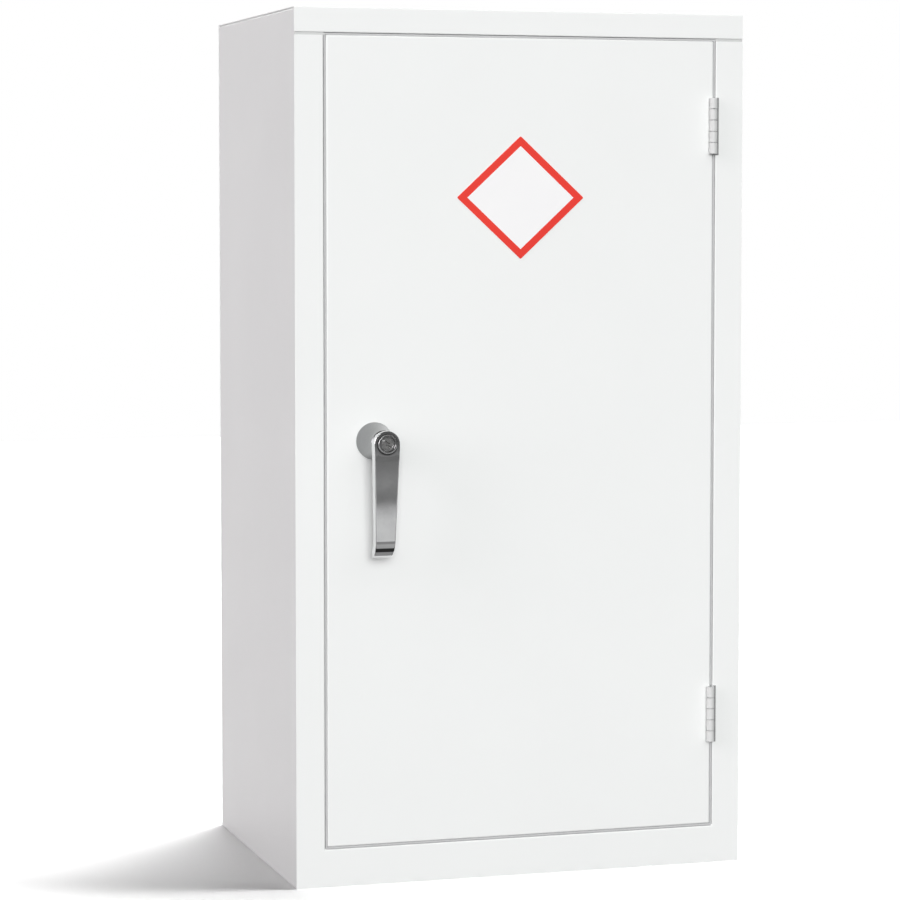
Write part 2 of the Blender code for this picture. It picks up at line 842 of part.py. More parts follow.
def make_cam_screw():
    head_y = cam_back_y + seat_gap
    place = (handle_x, head_y + cam_screw_height / 2, handle_height)
    screw = add_piece("cam_screw", bar(cam_screw_radius, cam_screw_height), zinc, place, facing_front)
    shank_length = cam_screw_shank_length + cam_screw_height / 2
    shank = bar(cam_screw_shank_radius, shank_length, small_steps)
    shank_y = head_y + cam_screw_height / 2 - shank_length / 2
    join(screw, shank, (handle_x, shank_y, handle_height), facing_front)
    return screw


def make_lock_barrel():
    """Cup that fills the pocket of the lever's head, with a chamfered front."""
    rear_y = lever_front_y + lock_pocket_depth - seat_gap
    length = rear_y - (lever_front_y - lock_proud)
    floor = length - plug_depth - plug_recess - plug_clearance
    bore = plug_radius + plug_clearance
    profile = [(0, floor), (bore, floor), (bore, length), (lock_radius - lock_chamfer, length)]
    profile += [(lock_radius, length - lock_chamfer), (lock_radius, 0), (0, 0)]
    place = (handle_x, rear_y, handle_height)
    barrel = add_piece("lock_barrel", turned(profile), chrome, place, facing_front)
    spin(barrel)
    return barrel


def make_key_plug():
    """Plug that turns with the key, with a cross-shaped keyway."""
    front = lever_front_y - lock_proud + plug_recess
    place = (handle_x, front + plug_depth / 2, handle_height)
    plug = add_piece("key_plug", bar(plug_radius, plug_depth), chrome, place, facing_front)
    keyway_y = front + (key_slot_depth - cut_overrun) / 2
    for length, lean in ((key_slot_length, key_lean), (key_notch_length, key_lean + math.radians(90))):
        slot = box(length, key_slot_depth + cut_overrun, key_slot_width)
        cut(plug, slot, (handle_x, keyway_y, handle_height), (0, lean, 0))
    return plug


def make_rod(name, rod_x, way, far_z):
    """Locking rod with a flat slotted head on its cam pin; way is 1 up and -1 down."""
    pin_z = handle_height - way * cam_pin_offset
    slot_radius = cam_pin_radius + slot_clearance
    slot_half = (cam_pin_circle - cam_pin_offset) / 2
    root = slot_radius + rod_head_wall / 3
    length = abs(far_z - pin_z) - root
    rod_mesh = bar(rod_radius, length, small_steps)
    rod = add_piece(name, rod_mesh, zinc, (rod_x, rod_y, pin_z + way * (root + length / 2)))
    round_edges(rod, rod_tip_chamfer)
    head_height = 2 * (slot_radius + rod_head_wall)
    head = box(2 * slot_half + head_height, rod_radius, head_height)
    join(rod, head, (rod_x, rod_front_y + rod_radius / 2, pin_z))
    outline = arc((slot_half, 0), slot_radius, -90, 90, profile_steps)
    outline += arc((-slot_half, 0), slot_radius, 90, 270, profile_steps)
    slot = plate(outline, 2 * (rod_radius + cut_overrun))
    cut(rod, slot, (rod_x, rod_front_y, pin_z), facing_front)
    return rod


def make_rod_guides():
    """Angle brackets on the door skin with a hole for each rod."""
    near_y = door_inner_y + seat_gap
    far_y = rod_y + rod_radius + guide_edge
    guides = []
    for level, rod_x, place_z in (
        ("upper", upper_rod_x, door_top - guide_inset),
        ("lower", lower_rod_x, door_bottom + guide_inset),
    ):
        profile = ((near_y, guide_foot), (near_y, 0), (far_y, 0))
        mesh = folded_strip(profile, guide_width)
        guide = add_piece(f"rod_guide_{level}", mesh, zinc, (rod_x, 0, place_z), drawn_along_x)
        thicken(guide, sheet)
        cut(guide, rod_hole(), (rod_x, rod_y, place_z))
        guides.append(guide)
    return guides


clear_scene()
parts = make_collection("acid_storage_cabinet")
cutters = make_collection("cutters")

make_side_panels()
make_front_frame()
make_top_panel()
make_back_panel()
make_sump_base()
make_shelf_strips()
make_shelf_clips()
make_door_buffers()

door_axis = axis_at("door_axis", (hinge_x, hinge_y, 0))
handle_axis = axis_at("handle_axis", (handle_x, front_y, handle_height), door_axis)
key_axis = axis_at("key_axis", (handle_x, lever_front_y, handle_height), handle_axis)
shelf_axis = axis_at("shelf_axis", (0, 0, tray_floor_z))

shelf = make_tray_shelf()
upper_leaves = make_hinge("upper", door_top - hinge_top_inset - hinge_length)
lower_leaves = make_hinge("lower", door_bottom + hinge_bottom_inset)
upper_rod = make_rod("upper_rod", upper_rod_x, 1, rod_top)
lower_rod = make_rod("lower_rod", lower_rod_x, -1, rod_bottom)

hang([shelf], shelf_axis)
hang([upper_leaves[1], lower_leaves[1]], door_axis)
hang([make_door_pan(), make_door_stiffener(), make_handle_rose(), make_rose_nut()], door_axis)
hang(make_rod_guides() + [upper_rod, lower_rod], door_axis)
hang([make_lever_handle(), make_lock_barrel()], handle_axis)
hang([make_spindle(), make_cam_plate(), make_cam_screw()], handle_axis)
hang([make_key_plug()], key_axis)
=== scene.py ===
"""Looks of a steel acid storage cabinet: paint, plating, chrome, small fittings and light.

Metres, +Z up, the door at -Y. The origin is the middle of the footprint, on the floor.
"""

import json
import math

import bmesh
import bpy
from mathutils import Matrix, Vector


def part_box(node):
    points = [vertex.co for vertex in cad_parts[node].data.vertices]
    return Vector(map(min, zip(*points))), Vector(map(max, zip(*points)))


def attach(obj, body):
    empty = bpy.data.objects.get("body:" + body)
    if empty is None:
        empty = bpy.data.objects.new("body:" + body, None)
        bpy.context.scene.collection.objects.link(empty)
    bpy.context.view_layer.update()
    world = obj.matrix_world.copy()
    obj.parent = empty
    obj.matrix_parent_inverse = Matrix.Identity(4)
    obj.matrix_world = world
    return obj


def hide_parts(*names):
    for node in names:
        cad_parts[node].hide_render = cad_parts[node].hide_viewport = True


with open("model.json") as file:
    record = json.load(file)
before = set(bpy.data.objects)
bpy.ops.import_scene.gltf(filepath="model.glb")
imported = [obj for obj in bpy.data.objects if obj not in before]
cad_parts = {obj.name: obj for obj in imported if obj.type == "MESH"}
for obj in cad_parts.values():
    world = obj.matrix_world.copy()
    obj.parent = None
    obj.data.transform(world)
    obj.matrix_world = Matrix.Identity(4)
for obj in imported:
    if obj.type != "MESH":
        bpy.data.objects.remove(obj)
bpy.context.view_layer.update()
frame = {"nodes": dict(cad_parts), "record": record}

# Camera, as in the photograph
camera_place = (-1.0196, -3.2390, 0.7092)
camera_heading = math.radians(-17.04)
camera_pitch = math.radians(3.52)
camera_lens = 122.6
camera_shift = -0.06

# Surroundings
sky_level = 0.10
floor_lift = 0.02
floor_bounce_tone = 0.04
floor_mirrored_tone = 0.62
floor_camera_gain = 0.62
floor_span = 12.0
card_lift = 0.001
card_reach = 2.6
card_half_width = 3.0
card_height = 2.4

# Cards that only the chrome sees, a painted highlight and painted dark reflections: half sizes,
# place, what they face, and level
plain_cards = {
    "painted_highlight_card": ((0.11, 0.50), (-1.00, -1.66, 1.72), "handle", 6.0),
    "dark_ceiling_reflection": ((3.0, 1.6), (0.2, -1.8, 2.4), "below", 0.10),
    "right_dark_reflection": ((2.6, 1.2), (2.4, -0.9, 1.2), "left", 0.10),
    "left_dark_reflection": ((0.8, 1.2), (-3.0, -2.0, 1.2), "right", 0.05),
    "painted_tip_reflection": ((0.04, 0.022), (-0.163, -0.197, 0.30), "above", 0.30),
}

# Painted reflection bands for the chrome: share of the way out from the door or up from the floor,
# and grey level there
floor_reflection_bands = (
    (0.0, 0.03), (0.095, 0.03), (0.11, 0.42), (0.22, 0.45), (0.25, 0.28),
    (0.42, 0.28), (0.46, 0.64), (0.57, 0.70), (0.605, 0.68), (0.64, 0.52),
    (0.647, 0.20), (0.665, 0.19), (0.70, 0.29), (0.745, 0.21), (0.79, 0.18),
)
curtain_reflection_bands = ((0.0, 0.26), (0.05, 0.18), (0.12, 0.12), (1.0, 0.10))
new_band_place = 0.5

# Lamps by what they light: bearing, height and spread in degrees, level and tint
lamps = {
    "cabinet": {
        "front": {"side": -10, "height": 14, "level": 0.60, "spread": 24},
        "front_fill": {"side": -5, "height": 45, "level": 0.385, "spread": 90},
        "left_fill": {
            "side": -80, "height": 20, "level": 0.44, "spread": 40, "tint": (1.0, 0.932, 0.966)
        },
        "right_fill": {"side": 108, "height": 12, "level": 0.41, "spread": 40},
        "back_fill": {"side": 165, "height": 15, "level": 0.78, "spread": 40},
    },
    "floor": {
        "floor_right": {"side": 75, "height": 12, "level": 1.092, "spread": 20},
        "floor_overhead": {"side": 90, "height": 60, "level": 0.515, "spread": 20},
        "floor_corner": {"side": 135, "height": 60, "level": 0.694, "spread": 20},
        "floor_back": {"side": 165, "height": 40, "level": 0.324, "spread": 20},
    },
}

# Steps and tolerances of the shapes
round_steps = 96
edge_steps = 4
soft_edge_steps = 2
round_profile = 0.5
merge_distance = 0.000002
flat_angle = math.radians(0.5)
sharp_angle = math.radians(32)
rim_angle = 2 * sharp_angle
quarter_turn = math.pi / 2
full_turn = 2 * math.pi
level_normal = 0.9
flat_face_weight = 100

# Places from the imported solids
lever_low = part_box("lever_handle")[0]
rose_low, rose_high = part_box("handle_rose")
barrel_low, barrel_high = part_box("lock_barrel")
door_low, door_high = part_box("door_pan")
handle_x = (rose_low.x + rose_high.x) / 2
handle_z = (rose_low.z + rose_high.z) / 2
door_front = door_low.y

# Softened edges
sheet_edge = 0.0003
cap_edge = 0.0001
plated_edge = 0.0004
lock_edge = 0.00015
strip_edge = 0.0001

# Seams under the cap: open above the stiles, and closed above the side panels. The opening holds a
# grey filler: painted shade of the seam
seam_opening = 0.0024
seam_lap = 0.0009
filler_inset = 0.0003
filler_depth = 0.0015

# Rose: a trumpet with a spigot behind it
rose_neck_radius = 0.0135
rose_rim_height = 0.0016
rose_flare_steps = 28
rose_flare_power = 1.5
rose_lip = 0.0005
spigot_radius = 0.009
spigot_bore = 0.0065

# Lever: a turned head, and a grip drawn down from its rim and curled at the tip
head_radius = 0.0138
head_thickness = 0.012
hub_radius = 0.0106
hub_length = 0.010
hub_clearance = 0.0004
grip_tip_half_width = 0.0102
grip_drift = 0.006
grip_thinning = 0.0015
grip_corner = 0.0030
grip_corner_power = 0.5
grip_stations = 18
curl_stations = 14
curl_start = 0.0985
curl_flat_length = 0.0225
curl_reach = 0.019
curl_inner_reach = 0.0085
curl_inner_stretch = 1.176
curl_outer_stretch = 1.079
lever_edge = 0.0026
head_taper = 0.006

# Lock in the lever's head
pocket_radius = 0.0103
pocket_depth = 0.009
barrel_chamfer = 0.0011
barrel_bore = 0.0077
barrel_floor = 0.0091
keyway_edge = 0.00025
plug_bead_radius = 0.0058
plug_bead_half = 0.0005
# Black ring round the lock's bezel: painted shade where the lock enters the head
lock_shade_ring_radius = 0.0107
lock_shade_ring_half = 0.0006
ring_steps = 12

# Grey bead in the gap round the door, open at the hinges: painted shade of the door gap
shade_bead_width = 0.0020
shade_bead_depth = 0.0030
shade_bead_inset = 0.0009
shade_bead_seat = 0.0001
shade_bead_hinge_room = 0.0006

# Dark strip on the stile beside and below each hinge barrel: painted shadow of the barrel
shadow_strip_start = 0.0004
shadow_strip_width = 0.0034
shadow_strip_thickness = 0.0003
shadow_strip_drop = 0.0012

# Rivets and spot welds: radius and height, section as shares of these, and places
sheet_thickness = 0.0012
stud_steps = 20
stud_section = ((0, 1), (0.35, 0.95), (0.68, 0.76), (0.88, 0.45), (1, 0), (0, 0))
domed_rivet = (0.0022, 0.0011)
flush_rivet = (0.0030, 0.0001)
spot_weld = (0.0027, 0.00012)
guide_rivet_reach = 0.0080
guide_rivet_share = 0.62
strip_rivet_inset = 0.0035
strip_rivet_room = 0.012
strip_rivet_rows = 3
hinge_rivet_depth = 0.0095
hinge_rivet_room = 0.010
hinge_rivet_rows = 3
weld_inset = 0.0075
weld_room = 0.030
weld_count = 8

# Blank diamond plate on the door
plate_across = 0.1400
plate_upright = 0.1290
plate_x = -0.003
plate_z = 0.7195
plate_border = 0.0077
plate_thickness = 0.0004
plate_corner = 0.0012
plate_field_slot = 0
plate_border_slot = 1


def tree_of(name):
    """A new material with nothing but its output, and its node tree."""
    material = bpy.data.materials.new(name)
    material.use_nodes = True
    material.node_tree.nodes.clear()
    return material, material.node_tree


def add_node(tree, kind, settings=None, **values):
    """A shader node; settings are its properties, and values its inputs by name."""
    node = tree.nodes.new(kind)
    for name, value in (settings or {}).items():
        setattr(node, name, value)
    for name, value in values.items():
        node.inputs[name.replace("_", " ")].default_value = value
    return node


def surface(tree, **values):
    """The Principled shader of a material, joined to its output."""
    shader = add_node(tree, "ShaderNodeBsdfPrincipled", None, **values)
    output = add_node(tree, "ShaderNodeOutputMaterial")
    tree.links.new(shader.outputs["BSDF"], output.inputs["Surface"])
    return shader


def make_group(name, inputs, outputs):
    """An empty shader node group with float and vector sockets."""
    group = bpy.data.node_groups.new(name, "ShaderNodeTree")
    for socket, kind in inputs:
        group.interface.new_socket(socket, in_out="INPUT", socket_type=kind)
    for socket, kind in outputs:
        group.interface.new_socket(socket, in_out="OUTPUT", socket_type=kind)
    return group, group.nodes.new("NodeGroupInput"), group.nodes.new("NodeGroupOutput")


def make_cloudy_mix():
    """Colour that drifts slowly between two tones, and the drift itself."""
    sockets = (
        ("Vector", "NodeSocketVector"),
        ("Scale", "NodeSocketFloat"),
        ("Light tone", "NodeSocketColor"),
        ("Dark tone", "NodeSocketColor"),
    )
    outs = (("Color", "NodeSocketColor"), ("Drift", "NodeSocketFloat"))
    group, given, result = make_group("cloudy_mix", sockets, outs)
    noise = add_node(group, "ShaderNodeTexNoise", None, Detail=4.0, Roughness=0.55)
    ramp = add_node(group, "ShaderNodeMapRange", None, From_Min=0.3, From_Max=0.7)
    mix = add_node(group, "ShaderNodeMix", {"data_type": "RGBA"})
    group.links.new(given.outputs["Vector"], noise.inputs["Vector"])
    group.links.new(given.outputs["Scale"], noise.inputs["Scale"])
    group.links.new(noise.outputs["Fac"], ramp.inputs["Value"])
    group.links.new(ramp.outputs["Result"], mix.inputs["Factor"])
    group.links.new(given.outputs["Light tone"], mix.inputs["A"])
    group.links.new(given.outputs["Dark tone"], mix.inputs["B"])
    group.links.new(mix.outputs["Result"], result.inputs["Color"])
    group.links.new(ramp.outputs["Result"], result.inputs["Drift"])
    return group


def make_grain():
    """Fine relief of two sizes: the texture of a sprayed, plated or moulded surface."""
    sockets = (
        ("Vector", "NodeSocketVector"),
        ("Fine scale", "NodeSocketFloat"),
        ("Broad scale", "NodeSocketFloat"),
        ("Broad share", "NodeSocketFloat"),
    )
    group, given, result = make_group("grain", sockets, (("Height", "NodeSocketFloat"),))
    fine = add_node(group, "ShaderNodeTexNoise", None, Detail=2.0, Roughness=0.5)
    broad = add_node(group, "ShaderNodeTexNoise", None, Detail=1.0, Roughness=0.4)
    mix = add_node(group, "ShaderNodeMix", {"data_type": "FLOAT"})
    group.links.new(given.outputs["Vector"], fine.inputs["Vector"])
    group.links.new(given.outputs["Vector"], broad.inputs["Vector"])
    group.links.new(given.outputs["Fine scale"], fine.inputs["Scale"])
    group.links.new(given.outputs["Broad scale"], broad.inputs["Scale"])
    group.links.new(given.outputs["Broad share"], mix.inputs["Factor"])
    group.links.new(fine.outputs["Fac"], mix.inputs["A"])
    group.links.new(broad.outputs["Fac"], mix.inputs["B"])
    group.links.new(mix.outputs["Result"], result.inputs["Height"])
    return group


cloudy_mix = make_cloudy_mix()
grain = make_grain()


def finish_material(name, tones, tone_scale, rough, grain_sizes, relief, **values):
    """A surface with drifting colour and roughness and a fine relief.

    tones are the two colours, rough the roughness at each of them, grain_sizes the fine
    and broad scale and the broad share, and relief the depth of the grain.
    """
    material, tree = tree_of(name)
    shader = surface(tree, **values)
    place = add_node(tree, "ShaderNodeTexCoord")
    clouds = add_node(tree, "ShaderNodeGroup", {"node_tree": cloudy_mix}, Scale=tone_scale)
    clouds.inputs["Light tone"].default_value = (*tones[0], 1)
    clouds.inputs["Dark tone"].default_value = (*tones[1], 1)
    tree.links.new(place.outputs["Object"], clouds.inputs["Vector"])
    tree.links.new(clouds.outputs["Color"], shader.inputs["Base Color"])
    rough_range = add_node(tree, "ShaderNodeMapRange", None, To_Min=rough[0], To_Max=rough[1])
    tree.links.new(clouds.outputs["Drift"], rough_range.inputs["Value"])
    tree.links.new(rough_range.outputs["Result"], shader.inputs["Roughness"])
    texture = add_node(tree, "ShaderNodeGroup", {"node_tree": grain})
    for socket, value in zip(("Fine scale", "Broad scale", "Broad share"), grain_sizes):
        texture.inputs[socket].default_value = value
    tree.links.new(place.outputs["Object"], texture.inputs["Vector"])
    bump = add_node(tree, "ShaderNodeBump", None, Distance=relief)
    tree.links.new(texture.outputs["Height"], bump.inputs["Height"])
    tree.links.new(bump.outputs["Normal"], shader.inputs["Normal"])
    return material


powder_coat = finish_material(
    "white_powder_coat",
    tones=((0.882, 0.898, 0.890), (0.868, 0.884, 0.876)),
    tone_scale=7.0,
    rough=(0.40, 0.46),
    grain_sizes=(1400.0, 420.0, 0.55),
    relief=0.00003,
    Specular_IOR_Level=0.3,
)
satin_chrome = finish_material(
    "satin_chrome",
    tones=((0.31, 0.315, 0.32), (0.28, 0.283, 0.285)),
    tone_scale=45.0,
    rough=(0.17, 0.23),
    grain_sizes=(3600.0, 600.0, 0.4),
    relief=0.000004,
    Metallic=1.0,
)
chrome = finish_material(
    "polished_chrome",
    tones=((0.76, 0.765, 0.77), (0.70, 0.705, 0.71)),
    tone_scale=60.0,
    rough=(0.03, 0.06),
    grain_sizes=(5200.0, 900.0, 0.3),
    relief=0.0000006,
    Metallic=1.0,
)
satin_nickel = finish_material(
    "satin_nickel",
    tones=((0.38, 0.378, 0.375), (0.32, 0.318, 0.315)),
    tone_scale=300.0,
    rough=(0.26, 0.34),
    grain_sizes=(3600.0, 900.0, 0.4),
    relief=0.000006,
    Metallic=1.0,
)
zinc_plate = finish_material(
    "bright_zinc_plate",
    tones=((0.60, 0.615, 0.64), (0.50, 0.505, 0.50)),
    tone_scale=90.0,
    rough=(0.26, 0.42),
    grain_sizes=(2600.0, 500.0, 0.5),
    relief=0.00001,
    Metallic=1.0,
)
rubber = finish_material(
    "black_rubber",
    tones=((0.035, 0.035, 0.036), (0.022, 0.022, 0.022)),
    tone_scale=120.0,
    rough=(0.62, 0.80),
    grain_sizes=(3000.0, 700.0, 0.4),
    relief=0.00004,
)
# Shaded copy of the white powder coat for the hinge leaves: its darker tone is painted shade on
# the round barrels
shaded_hinge_coat = finish_material(
    "shaded_hinge_coat",
    tones=((0.67, 0.68, 0.675), (0.65, 0.66, 0.655)),
    tone_scale=30.0,
    rough=(0.40, 0.46),
    grain_sizes=(1400.0, 420.0, 0.55),
    relief=0.00002,
    Specular_IOR_Level=0.3,
)
# Dark grey of the strip beside each hinge barrel: painted shadow
painted_shadow_grey = finish_material(
    "painted_shadow_grey",
    tones=((0.26, 0.26, 0.265), (0.23, 0.23, 0.235)),
    tone_scale=120.0,
    rough=(0.62, 0.80),
    grain_sizes=(3000.0, 700.0, 0.4),
    relief=0.00003,
)
# Mid grey of the bead in the door gap: painted shade of the gap
gap_shade_grey = finish_material(
    "gap_shade_grey",
    tones=((0.58, 0.585, 0.59), (0.55, 0.555, 0.56)),
    tone_scale=120.0,
    rough=(0.62, 0.80),
    grain_sizes=(3000.0, 700.0, 0.4),
    relief=0.00003,
)
white_film = finish_material(
    "white_film",
    tones=((0.93, 0.93, 0.93), (0.915, 0.915, 0.92)),
    tone_scale=20.0,
    rough=(0.34, 0.40),
    grain_sizes=(900.0, 160.0, 0.7),
    relief=0.000012,
    Specular_IOR_Level=0.25,
)
red_film = finish_material(
    "red_film",
    tones=((0.84, 0.045, 0.028), (0.80, 0.040, 0.026)),
    tone_scale=20.0,
    rough=(0.50, 0.58),
    grain_sizes=(900.0, 160.0, 0.7),
    relief=0.000012,
    Specular_IOR_Level=0.25,
)
# Light grey of the filler in the seam under the cap: painted shade
seam_shade_filler = finish_material(
    "seam_shade_filler",
    tones=((0.64, 0.65, 0.645), (0.61, 0.62, 0.615)),
    tone_scale=60.0,
    rough=(0.45, 0.55),
    grain_sizes=(1400.0, 420.0, 0.5),
    relief=0.00003,
)
finishes = {
    "white_powder_coat": powder_coat,
    "chrome": chrome,
    "zinc_plate": zinc_plate,
    "black_rubber": rubber,
}


def add_piece(name, work, body, materials, stands_for=()):
    """One piece from a finished bmesh, smooth but for its sharp edges, on its body."""
    mesh = bpy.data.meshes.new(name)
    work.to_mesh(mesh)
    work.free()
    mesh.shade_smooth()
    mesh.set_sharp_from_angle(angle=sharp_angle)
    piece = bpy.data.objects.new(name, mesh)
    for material in materials:
        mesh.materials.append(material)
    bpy.context.scene.collection.objects.link(piece)
    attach(piece, body)
    if stands_for:
        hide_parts(*stands_for)
    return piece


def keep_flats(piece):
    """Shade by the large faces, so that flats stay flat beside rounded edges."""
    weighted = piece.modifiers.new("Flat faces", "WEIGHTED_NORMAL")
    weighted.keep_sharp = True
    weighted.weight = flat_face_weight


def soften(piece, radius):
    """Round the sharp edges of a piece."""
    bevel = piece.modifiers.new("Edges", "BEVEL")
    bevel.width = radius
    bevel.segments = soft_edge_steps
    bevel.limit_method = "ANGLE"
    bevel.angle_limit = sharp_angle
    bevel.miter_outer = "MITER_ARC"
    keep_flats(piece)


def facing_front(place):
    """Turns a shape's +Z to the front and puts its origin at a place."""
    return Matrix.Translation(place) @ Matrix.Rotation(quarter_turn, 4, "X")


def facing(direction):
    """Turns a shape's +Z towards a direction."""
    return Vector(direction).to_track_quat("Z", "Y").to_matrix().to_4x4()


def turned(profile, steps=round_steps):
    """A turned solid round +Z, from points of radius and height along its section."""
    work = bmesh.new()
    verts = [work.verts.new((radius, 0, height)) for radius, height in profile]
    ends = list(zip(verts, verts[1:]))
    if profile[0][0] > 0:
        ends.append((verts[-1], verts[0]))
    edges = [work.edges.new(pair) for pair in ends]
    bmesh.ops.spin(
        work,
        geom=verts + edges,
        axis=(0, 0, 1),
        angle=full_turn,
        steps=steps,
        use_merge=True,
    )
    bmesh.ops.remove_doubles(work, verts=work.verts, dist=merge_distance)
    bmesh.ops.recalc_face_normals(work, faces=work.faces)
    return work


def spread(first, last, count):
    """Even steps from first to last."""
    return [first + (last - first) * number / (count - 1) for number in range(count)]


# Finish name and edge radius of the pieces that keep their solids' shape
refined_edges = {
    "white_powder_coat": ("painted", sheet_edge),
    "zinc_plate": ("plated", plated_edge),
    "black_rubber": ("moulded", plated_edge),
    "chrome": ("chromed", lock_edge),
}
remade_nodes = ("handle_rose", "lever_handle", "lock_barrel")
special_edges = {"key_plug": keyway_edge, "top_panel": cap_edge}
# Own finishes of some pieces; the hinge leaves take the shaded copy of the powder coat, painted
# shade
special_finishes = {
    "hinge_frame_leaf_lower": shaded_hinge_coat,
    "hinge_frame_leaf_upper": shaded_hinge_coat,
    "hinge_door_leaf_lower": shaded_hinge_coat,
    "hinge_door_leaf_upper": shaded_hinge_coat,
    "key_plug": satin_nickel,
}


def body_of(node):
    """The body that a solid belongs to."""
    for body, members in frame["record"]["behaviour"]["bodies"].items():
        if node in members:
            return body


def shift_tops(work, rise, behind=math.inf):
    """Move the topmost points of a solid up or down, those up to a depth behind the front."""
    top = max(vert.co.z for vert in work.verts)
    front = min(vert.co.y for vert in work.verts)
    ends = [
        vert
        for vert in work.verts
        if vert.co.z > top - merge_distance and vert.co.y < front + behind
    ]
    bmesh.ops.translate(work, vec=(0, 0, rise), verts=ends)


def refine(node, slot):
    """A cleaned copy of a solid with its edges softened, and its seam under the cap set."""
    prefix, edge = refined_edges[slot]
    edge = special_edges.get(node, edge)
    finish = special_finishes.get(node, finishes[slot])
    work = bmesh.new()
    work.from_mesh(frame["nodes"][node].data)
    if node == "front_frame":
        shift_tops(work, -seam_opening, filler_depth)
    if node.startswith("side_panel"):
        shift_tops(work, seam_lap)
    bmesh.ops.remove_doubles(work, verts=work.verts, dist=merge_distance)
    bmesh.ops.dissolve_limit(work, angle_limit=flat_angle, verts=work.verts, edges=work.edges)
    piece = add_piece(f"{prefix}_{node}", work, body_of(node), [finish], [node])
    soften(piece, edge)


def make_refined_pieces():
    """All the solids that keep their shape."""
    for row in frame["record"]["subparts"]:
        if row["node"] not in remade_nodes:
            refine(row["node"], row["material_slot"])


def make_rose():
    """Trumpet-shaped rose with soft lips and a spigot through the door."""
    front = door_front - rose_low.y
    back = door_front - rose_high.y
    rim = (rose_high.x - rose_low.x) / 2
    profile = [(rose_neck_radius - rose_lip, front)]
    for step in range(rose_flare_steps + 1):
        share = step / rose_flare_steps
        radius = rose_neck_radius + (rim - rose_neck_radius) * share**rose_flare_power
        profile.append((radius, front - rose_lip + (rose_rim_height - front + rose_lip) * share))
    floor = front - hub_length
    bore = hub_radius + hub_clearance
    profile += [(rim, 0), (spigot_radius, 0), (spigot_radius, back), (spigot_bore, back)]
    profile += [(spigot_bore, floor), (bore, floor), (bore, front)]
    work = turned(profile)
    place = facing_front((handle_x, door_front, handle_z))
    bmesh.ops.transform(work, matrix=place, verts=work.verts)
    add_piece("flared_rose", work, "door", [satin_chrome], ["handle_rose"])


def draw_out_grip(work):
    """Draw the lower rim of the turned head down into a tapered bar with soft corners."""
    length = curl_start + curl_flat_length
    for vert in work.verts:
        if vert.co.xy.length > head_radius - lever_edge and vert.co.y < -merge_distance:
            across = vert.co.x / head_radius
            down = -vert.co.y / head_radius
            spread_out = math.copysign(abs(across) ** grip_corner_power, across)
            vert.co.x = spread_out * grip_tip_half_width
            vert.co.y = grip_corner * (1 - down**grip_corner_power) - length


def cut_stations(work):
    """Cut the grip across at each station, and clear the lines between the cuts."""
    lines = spread(head_radius, curl_start, grip_stations + 1)
    curl_end = curl_start + curl_flat_length - 2 * grip_corner
    lines += spread(curl_start, curl_end, curl_stations + 1)[1:]
    for line in lines:
        bmesh.ops.bisect_plane(
            work,
            geom=work.verts[:] + work.edges[:] + work.faces[:],
            dist=merge_distance,
            plane_co=(0, -line, 0),
            plane_no=(0, 1, 0),
        )
    spare = []
    for edge in work.edges:
        first, second = (vert.co for vert in edge.verts)
        below = max(first.y, second.y) < merge_distance - head_radius
        slanted = abs(first.y - second.y) > merge_distance
        if below and slanted and edge.calc_face_angle(0) < flat_angle:
            spare.append(edge)
    bmesh.ops.dissolve_edges(work, edges=spare, use_verts=True)


def round_rims(work):
    """Round the front and back rims of the head and the grip."""
    rims = []
    for edge in work.edges:
        middle = (edge.verts[0].co + edge.verts[1].co) / 2
        outside = middle.xy.length > (head_radius + hub_radius) / 2
        if outside and edge.calc_face_angle(0) > rim_angle:
            rims.append(edge)
    bmesh.ops.bevel(
        work,
        geom=rims,
        offset=lever_edge,
        offset_type="OFFSET",
        segments=edge_steps,
        profile=round_profile,
        affect="EDGES",
        clamp_overlap=True,
        material=-1,
    )


def bend_grip(work):
    """Lean the grip towards the door, thin it, and curl its tip."""
    centre = head_thickness - grip_drift - curl_reach
    for vert in work.verts:
        down = -vert.co.y
        if down <= head_radius:
            continue
        share = min((down - head_radius) / (curl_start - head_radius), 1)
        lean = grip_drift - grip_thinning
        forward = vert.co.z - share * (lean + grip_thinning * vert.co.z / head_thickness)
        if down > curl_start:
            turn = quarter_turn * (down - curl_start) / curl_flat_length
            radius = forward - centre
            outer = (radius - curl_inner_reach) / (curl_reach - curl_inner_reach)
            stretch = curl_inner_stretch + (curl_outer_stretch - curl_inner_stretch) * outer
            forward = centre + radius * math.cos(turn)
            vert.co.y = -curl_start - radius * math.sin(turn) * stretch
        vert.co.z = forward


def thin_head(work):
    """Slope the back of the head forward towards its top."""
    for vert in work.verts:
        behind = vert.co.z < head_thickness / 2 and vert.co.xy.length > hub_radius + merge_distance
        if behind and vert.co.y > 0:
            vert.co.z += head_taper * vert.co.y / head_radius


def make_lever():
    """Cast lever with a hub behind its head and a pocket for the lock."""
    profile = [(0, head_thickness - pocket_depth), (pocket_radius, head_thickness - pocket_depth)]
    profile += [(pocket_radius, head_thickness), (head_radius, head_thickness), (head_radius, 0)]
    profile += [(hub_radius, 0), (hub_radius, -hub_length), (0, -hub_length)]
    work = turned(profile)
    draw_out_grip(work)
    cut_stations(work)
    round_rims(work)
    thin_head(work)
    bend_grip(work)
    place = facing_front((handle_x, lever_low.y + head_thickness, handle_z))
    bmesh.ops.transform(work, matrix=place, verts=work.verts)
    piece = add_piece("curled_lever", work, "handle", [chrome], ["lever_handle"])
    keep_flats(piece)


